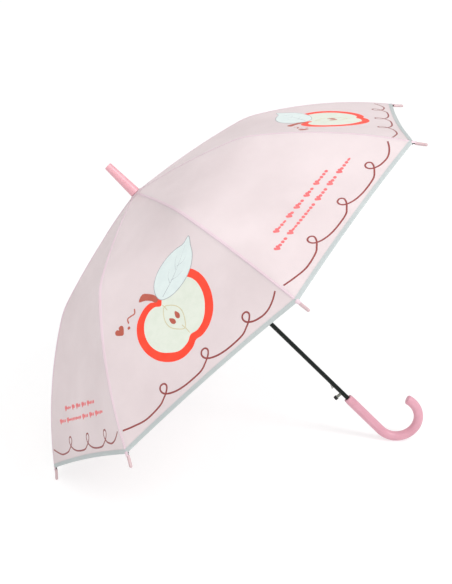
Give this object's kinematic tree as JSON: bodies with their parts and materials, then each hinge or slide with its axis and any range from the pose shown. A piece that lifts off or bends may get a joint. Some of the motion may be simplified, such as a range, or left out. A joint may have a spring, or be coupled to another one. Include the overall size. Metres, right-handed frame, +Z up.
{
  "type": "children's stick umbrella",
  "caption": "Open children's stick umbrella with a pale translucent canopy on hinged ribs, a slim black shaft, a tapered ferrule and a curved hook handle.",
  "frame": {"origin": "bottom centre of the box of the open umbrella as it lies on two rib tips and the bend of its hook", "axes": "+Z up, +X from the ferrule towards the handle along the floor, shaft in the XZ plane, 45 degrees below level"},
  "size_m": [0.646, 0.829, 0.5921],
  "materials": {
    "canopy_film": "translucent satin film cloth",
    "shaft_paint": "gloss black",
    "rib_steel": "black painted steel",
    "pink_plastic": "satin pink",
    "pale_pink_plastic": "satin pale pink",
    "white_plastic": "matt",
    "black_plastic": "satin black",
    "bare_steel": "plated"
  },
  "bodies": {
    "shaft": {"shaft_tube": "shaft_paint", "ferrule": "pale_pink_plastic", "rosette": "pale_pink_plastic", "crown_notch": "white_plastic", "crown_wire": "bare_steel", "runner_stop": "bare_steel", "main_spring": "bare_steel", "handle": "pink_plastic"},
    "runner": {"runner": "white_plastic", "runner_wire": "bare_steel"},
    "rib_inner_1": {"rib_inner_1": "rib_steel"},
    "rib_outer_1": {"rib_outer_1": "rib_steel", "rib_tip_1": "pale_pink_plastic"},
    "stretcher_1": {"stretcher_1": "rib_steel"},
    "gore_inner_1": {"gore_inner_1": "canopy_film"},
    "gore_outer_1": {"gore_outer_1": "canopy_film"},
    "rib_inner_2": {"rib_inner_2": "rib_steel"},
    "rib_outer_2": {"rib_outer_2": "rib_steel", "rib_tip_2": "pale_pink_plastic"},
    "stretcher_2": {"stretcher_2": "rib_steel"},
    "gore_inner_2": {"gore_inner_2": "canopy_film"},
    "gore_outer_2": {"gore_outer_2": "canopy_film"},
    "rib_inner_3": {"rib_inner_3": "rib_steel"},
    "rib_outer_3": {"rib_outer_3": "rib_steel", "rib_tip_3": "pale_pink_plastic"},
    "stretcher_3": {"stretcher_3": "rib_steel"},
    "gore_inner_3": {"gore_inner_3": "canopy_film"},
    "gore_outer_3": {"gore_outer_3": "canopy_film"},
    "rib_inner_4": {"rib_inner_4": "rib_steel"},
    "rib_outer_4": {"rib_outer_4": "rib_steel", "rib_tip_4": "pale_pink_plastic"},
    "stretcher_4": {"stretcher_4": "rib_steel"},
    "gore_inner_4": {"gore_inner_4": "canopy_film"},
    "gore_outer_4": {"gore_outer_4": "canopy_film"},
    "rib_inner_5": {"rib_inner_5": "rib_steel"},
    "rib_outer_5": {"rib_outer_5": "rib_steel", "rib_tip_5": "pale_pink_plastic"},
    "stretcher_5": {"stretcher_5": "rib_steel"},
    "gore_inner_5": {"gore_inner_5": "canopy_film"},
    "gore_outer_5": {"gore_outer_5": "canopy_film"},
    "rib_inner_6": {"rib_inner_6": "rib_steel"},
    "rib_outer_6": {"rib_outer_6": "rib_steel", "rib_tip_6": "pale_pink_plastic"},
    "stretcher_6": {"stretcher_6": "rib_steel"},
    "gore_inner_6": {"gore_inner_6": "canopy_film"},
    "gore_outer_6": {"gore_outer_6": "canopy_film"},
    "rib_inner_7": {"rib_inner_7": "rib_steel"},
    "rib_outer_7": {"rib_outer_7": "rib_steel", "rib_tip_7": "pale_pink_plastic"},
    "stretcher_7": {"stretcher_7": "rib_steel"},
    "gore_inner_7": {"gore_inner_7": "canopy_film"},
    "gore_outer_7": {"gore_outer_7": "canopy_film"},
    "rib_inner_8": {"rib_inner_8": "rib_steel"},
    "rib_outer_8": {"rib_outer_8": "rib_steel", "rib_tip_8": "pale_pink_plastic"},
    "stretcher_8": {"stretcher_8": "rib_steel"},
    "gore_inner_8": {"gore_inner_8": "canopy_film"},
    "gore_outer_8": {"gore_outer_8": "canopy_film"},
    "release_button": {"release_button": "black_plastic"},
    "bottom_catch": {"bottom_catch": "bare_steel"}
  },
  "joints": [
    {"name": "runner_slide", "type": "slide", "parent": "shaft", "child": "runner", "axis": [0.7023, 0, -0.7119], "range_m": [0, 0.35373], "deforming": ["main_spring"]},
    {"name": "rib_hinge_1", "type": "hinge", "parent": "shaft", "child": "rib_inner_1", "pos_m": [-0.18731, -0.00306, 0.45058], "axis": [0.2724, -0.9239, 0.2688], "range_deg": [0, 76.05]},
    {"name": "rib_knee_1", "type": "hinge", "parent": "rib_inner_1", "child": "rib_outer_1", "pos_m": [-0.29852, -0.08656, 0.27628], "axis": [-0.2724, 0.9239, -0.2688], "range_deg": [0, 26.81]},
    {"name": "stretcher_hinge_1", "type": "hinge", "parent": "rib_inner_1", "child": "stretcher_1", "pos_m": [-0.29852, -0.08656, 0.27628], "axis": [-0.2724, 0.9239, -0.2688], "range_deg": [0, 152.09]},
    {"name": "gore_hinge_1", "type": "hinge", "parent": "shaft", "child": "gore_inner_1", "pos_m": [-0.18731, 0, 0.45058], "axis": [0, -1, 0], "range_deg": [0, 74.68], "deforming": ["gore_inner_1"]},
    {"name": "gore_knee_1", "type": "hinge", "parent": "gore_inner_1", "child": "gore_outer_1", "pos_m": [-0.29852, 0, 0.27628], "axis": [0, 1, 0], "range_deg": [0, 27.75], "deforming": ["gore_outer_1"]},
    {"name": "rib_hinge_2", "type": "hinge", "parent": "shaft", "child": "rib_inner_2", "pos_m": [-0.18423, -0.00739, 0.45362], "axis": [0.6577, -0.3827, 0.6489], "range_deg": [0, 76.05]},
    {"name": "rib_knee_2", "type": "hinge", "parent": "rib_inner_2", "child": "rib_outer_2", "pos_m": [-0.21138, -0.20897, 0.36225], "axis": [-0.6577, 0.3827, -0.6489], "range_deg": [0, 26.81]},
    {"name": "stretcher_hinge_2", "type": "hinge", "parent": "rib_inner_2", "child": "stretcher_2", "pos_m": [-0.21138, -0.20897, 0.36225], "axis": [-0.6577, 0.3827, -0.6489], "range_deg": [0, 152.09]},
    {"name": "gore_hinge_2", "type": "hinge", "parent": "shaft", "child": "gore_inner_2", "pos_m": [-0.18577, -0.00523, 0.4521], "axis": [0.5034, -0.7071, 0.4966], "range_deg": [0, 74.68], "deforming": ["gore_inner_2"]},
    {"name": "gore_knee_2", "type": "hinge", "parent": "gore_inner_2", "child": "gore_outer_2", "pos_m": [-0.25495, -0.14776, 0.31926], "axis": [-0.5034, 0.7071, -0.4966], "range_deg": [0, 27.75], "deforming": ["gore_outer_2"]},
    {"name": "rib_hinge_3", "type": "hinge", "parent": "shaft", "child": "rib_inner_3", "pos_m": [-0.17987, -0.00739, 0.45792], "axis": [0.6577, 0.3827, 0.6489], "range_deg": [0, 76.05]},
    {"name": "rib_knee_3", "type": "hinge", "parent": "rib_inner_3", "child": "rib_outer_3", "pos_m": [-0.08814, -0.20897, 0.48383], "axis": [-0.6577, -0.3827, -0.6489], "range_deg": [0, 26.81]},
    {"name": "stretcher_hinge_3", "type": "hinge", "parent": "rib_inner_3", "child": "stretcher_3", "pos_m": [-0.08814, -0.20897, 0.48383], "axis": [-0.6577, -0.3827, -0.6489], "range_deg": [0, 152.09]},
    {"name": "gore_hinge_3", "type": "hinge", "parent": "shaft", "child": "gore_inner_3", "pos_m": [-0.18205, -0.00739, 0.45577], "axis": [0.7119, 0, 0.7023], "range_deg": [0, 74.68], "deforming": ["gore_inner_3"]},
    {"name": "gore_knee_3", "type": "hinge", "parent": "gore_inner_3", "child": "gore_outer_3", "pos_m": [-0.14976, -0.20897, 0.42304], "axis": [-0.7119, 0, -0.7023], "range_deg": [0, 27.75], "deforming": ["gore_outer_3"]},
    {"name": "rib_hinge_4", "type": "hinge", "parent": "shaft", "child": "rib_inner_4", "pos_m": [-0.17679, -0.00306, 0.46096], "axis": [0.2724, 0.9239, 0.2688], "range_deg": [0, 76.05]},
    {"name": "rib_knee_4", "type": "hinge", "parent": "rib_inner_4", "child": "rib_outer_4", "pos_m": [-0.001, -0.08656, 0.56981], "axis": [-0.2724, -0.9239, -0.2688], "range_deg": [0, 26.81]},
    {"name": "stretcher_hinge_4", "type": "hinge", "parent": "rib_inner_4", "child": "stretcher_4", "pos_m": [-0.001, -0.08656, 0.56981], "axis": [-0.2724, -0.9239, -0.2688], "range_deg": [0, 152.09]},
    {"name": "gore_hinge_4", "type": "hinge", "parent": "shaft", "child": "gore_inner_4", "pos_m": [-0.17833, -0.00523, 0.45944], "axis": [0.5034, 0.7071, 0.4966], "range_deg": [0, 74.68], "deforming": ["gore_inner_4"]},
    {"name": "gore_knee_4", "type": "hinge", "parent": "gore_inner_4", "child": "gore_outer_4", "pos_m": [-0.04457, -0.14776, 0.52682], "axis": [-0.5034, -0.7071, -0.4966], "range_deg": [0, 27.75], "deforming": ["gore_outer_4"]},
    {"name": "rib_hinge_5", "type": "hinge", "parent": "shaft", "child": "rib_inner_5", "pos_m": [-0.17679, 0.00306, 0.46096], "axis": [-0.2724, 0.9239, -0.2688], "range_deg": [0, 76.05]},
    {"name": "rib_knee_5", "type": "hinge", "parent": "rib_inner_5", "child": "rib_outer_5", "pos_m": [-0.001, 0.08656, 0.56981], "axis": [0.2724, -0.9239, 0.2688], "range_deg": [0, 26.81]},
    {"name": "stretcher_hinge_5", "type": "hinge", "parent": "rib_inner_5", "child": "stretcher_5", "pos_m": [-0.001, 0.08656, 0.56981], "axis": [0.2724, -0.9239, 0.2688], "range_deg": [0, 152.09]},
    {"name": "gore_hinge_5", "type": "hinge", "parent": "shaft", "child": "gore_inner_5", "pos_m": [-0.17679, 0, 0.46096], "axis": [0, 1, 0], "range_deg": [0, 74.68], "deforming": ["gore_inner_5"]},
    {"name": "gore_knee_5", "type": "hinge", "parent": "gore_inner_5", "child": "gore_outer_5", "pos_m": [-0.001, 0, 0.56981], "axis": [0, -1, 0], "range_deg": [0, 27.75], "deforming": ["gore_outer_5"]},
    {"name": "rib_hinge_6", "type": "hinge", "parent": "shaft", "child": "rib_inner_6", "pos_m": [-0.17987, 0.00739, 0.45792], "axis": [-0.6577, 0.3827, -0.6489], "range_deg": [0, 76.05]},
    {"name": "rib_knee_6", "type": "hinge", "parent": "rib_inner_6", "child": "rib_outer_6", "pos_m": [-0.08814, 0.20897, 0.48383], "axis": [0.6577, -0.3827, 0.6489], "range_deg": [0, 26.81]},
    {"name": "stretcher_hinge_6", "type": "hinge", "parent": "rib_inner_6", "child": "stretcher_6", "pos_m": [-0.08814, 0.20897, 0.48383], "axis": [0.6577, -0.3827, 0.6489], "range_deg": [0, 152.09]},
    {"name": "gore_hinge_6", "type": "hinge", "parent": "shaft", "child": "gore_inner_6", "pos_m": [-0.17833, 0.00523, 0.45944], "axis": [-0.5034, 0.7071, -0.4966], "range_deg": [0, 74.68], "deforming": ["gore_inner_6"]},
    {"name": "gore_knee_6", "type": "hinge", "parent": "gore_inner_6", "child": "gore_outer_6", "pos_m": [-0.04457, 0.14776, 0.52682], "axis": [0.5034, -0.7071, 0.4966], "range_deg": [0, 27.75], "deforming": ["gore_outer_6"]},
    {"name": "rib_hinge_7", "type": "hinge", "parent": "shaft", "child": "rib_inner_7", "pos_m": [-0.18423, 0.00739, 0.45362], "axis": [-0.6577, -0.3827, -0.6489], "range_deg": [0, 76.05]},
    {"name": "rib_knee_7", "type": "hinge", "parent": "rib_inner_7", "child": "rib_outer_7", "pos_m": [-0.21138, 0.20897, 0.36225], "axis": [0.6577, 0.3827, 0.6489], "range_deg": [0, 26.81]},
    {"name": "stretcher_hinge_7", "type": "hinge", "parent": "rib_inner_7", "child": "stretcher_7", "pos_m": [-0.21138, 0.20897, 0.36225], "axis": [0.6577, 0.3827, 0.6489], "range_deg": [0, 152.09]},
    {"name": "gore_hinge_7", "type": "hinge", "parent": "shaft", "child": "gore_inner_7", "pos_m": [-0.18205, 0.00739, 0.45577], "axis": [-0.7119, 0, -0.7023], "range_deg": [0, 74.68], "deforming": ["gore_inner_7"]},
    {"name": "gore_knee_7", "type": "hinge", "parent": "gore_inner_7", "child": "gore_outer_7", "pos_m": [-0.14976, 0.20897, 0.42304], "axis": [0.7119, 0, 0.7023], "range_deg": [0, 27.75], "deforming": ["gore_outer_7"]},
    {"name": "rib_hinge_8", "type": "hinge", "parent": "shaft", "child": "rib_inner_8", "pos_m": [-0.18731, 0.00306, 0.45058], "axis": [-0.2724, -0.9239, -0.2688], "range_deg": [0, 76.05]},
    {"name": "rib_knee_8", "type": "hinge", "parent": "rib_inner_8", "child": "rib_outer_8", "pos_m": [-0.29852, 0.08656, 0.27628], "axis": [0.2724, 0.9239, 0.2688], "range_deg": [0, 26.81]},
    {"name": "stretcher_hinge_8", "type": "hinge", "parent": "rib_inner_8", "child": "stretcher_8", "pos_m": [-0.29852, 0.08656, 0.27628], "axis": [0.2724, 0.9239, 0.2688], "range_deg": [0, 152.09]},
    {"name": "gore_hinge_8", "type": "hinge", "parent": "shaft", "child": "gore_inner_8", "pos_m": [-0.18577, 0.00523, 0.4521], "axis": [-0.5034, -0.7071, -0.4966], "range_deg": [0, 74.68], "deforming": ["gore_inner_8"]},
    {"name": "gore_knee_8", "type": "hinge", "parent": "gore_inner_8", "child": "gore_outer_8", "pos_m": [-0.25495, 0.14776, 0.31926], "axis": [0.5034, 0.7071, 0.4966], "range_deg": [0, 27.75], "deforming": ["gore_outer_8"]},
    {"name": "button_press", "type": "slide", "parent": "shaft", "child": "release_button", "axis": [0.7119, 0, 0.7023], "range_m": [0, 0.0035], "stiffness_N_per_m": 800, "springref_m": -0.002},
    {"name": "catch_slide", "type": "slide", "parent": "shaft", "child": "bottom_catch", "axis": [0.7119, 0, 0.7023], "range_m": [0, 0.004]}
  ],
  "couplings": [
    {"joint": "rib_hinge_1", "follows": "runner_slide", "rad_per_m": 3.7522},
    {"joint": "rib_knee_1", "follows": "runner_slide", "rad_per_m": 1.3229},
    {"joint": "stretcher_hinge_1", "follows": "runner_slide", "rad_per_m": 7.5043},
    {"joint": "gore_hinge_1", "follows": "runner_slide", "rad_per_m": 3.6848},
    {"joint": "gore_knee_1", "follows": "runner_slide", "rad_per_m": 1.3692},
    {"joint": "rib_hinge_2", "follows": "runner_slide", "rad_per_m": 3.7522},
    {"joint": "rib_knee_2", "follows": "runner_slide", "rad_per_m": 1.3229},
    {"joint": "stretcher_hinge_2", "follows": "runner_slide", "rad_per_m": 7.5043},
    {"joint": "gore_hinge_2", "follows": "runner_slide", "rad_per_m": 3.6848},
    {"joint": "gore_knee_2", "follows": "runner_slide", "rad_per_m": 1.3692},
    {"joint": "rib_hinge_3", "follows": "runner_slide", "rad_per_m": 3.7522},
    {"joint": "rib_knee_3", "follows": "runner_slide", "rad_per_m": 1.3229},
    {"joint": "stretcher_hinge_3", "follows": "runner_slide", "rad_per_m": 7.5043},
    {"joint": "gore_hinge_3", "follows": "runner_slide", "rad_per_m": 3.6848},
    {"joint": "gore_knee_3", "follows": "runner_slide", "rad_per_m": 1.3692},
    {"joint": "rib_hinge_4", "follows": "runner_slide", "rad_per_m": 3.7522},
    {"joint": "rib_knee_4", "follows": "runner_slide", "rad_per_m": 1.3229},
    {"joint": "stretcher_hinge_4", "follows": "runner_slide", "rad_per_m": 7.5043},
    {"joint": "gore_hinge_4", "follows": "runner_slide", "rad_per_m": 3.6848},
    {"joint": "gore_knee_4", "follows": "runner_slide", "rad_per_m": 1.3692},
    {"joint": "rib_hinge_5", "follows": "runner_slide", "rad_per_m": 3.7522},
    {"joint": "rib_knee_5", "follows": "runner_slide", "rad_per_m": 1.3229},
    {"joint": "stretcher_hinge_5", "follows": "runner_slide", "rad_per_m": 7.5043},
    {"joint": "gore_hinge_5", "follows": "runner_slide", "rad_per_m": 3.6848},
    {"joint": "gore_knee_5", "follows": "runner_slide", "rad_per_m": 1.3692},
    {"joint": "rib_hinge_6", "follows": "runner_slide", "rad_per_m": 3.7522},
    {"joint": "rib_knee_6", "follows": "runner_slide", "rad_per_m": 1.3229},
    {"joint": "stretcher_hinge_6", "follows": "runner_slide", "rad_per_m": 7.5043},
    {"joint": "gore_hinge_6", "follows": "runner_slide", "rad_per_m": 3.6848},
    {"joint": "gore_knee_6", "follows": "runner_slide", "rad_per_m": 1.3692},
    {"joint": "rib_hinge_7", "follows": "runner_slide", "rad_per_m": 3.7522},
    {"joint": "rib_knee_7", "follows": "runner_slide", "rad_per_m": 1.3229},
    {"joint": "stretcher_hinge_7", "follows": "runner_slide", "rad_per_m": 7.5043},
    {"joint": "gore_hinge_7", "follows": "runner_slide", "rad_per_m": 3.6848},
    {"joint": "gore_knee_7", "follows": "runner_slide", "rad_per_m": 1.3692},
    {"joint": "rib_hinge_8", "follows": "runner_slide", "rad_per_m": 3.7522},
    {"joint": "rib_knee_8", "follows": "runner_slide", "rad_per_m": 1.3229},
    {"joint": "stretcher_hinge_8", "follows": "runner_slide", "rad_per_m": 7.5043},
    {"joint": "gore_hinge_8", "follows": "runner_slide", "rad_per_m": 3.6848},
    {"joint": "gore_knee_8", "follows": "runner_slide", "rad_per_m": 1.3692},
    {"joint": "catch_slide", "follows": "button_press", "ratio": 1.1428}
  ]
}
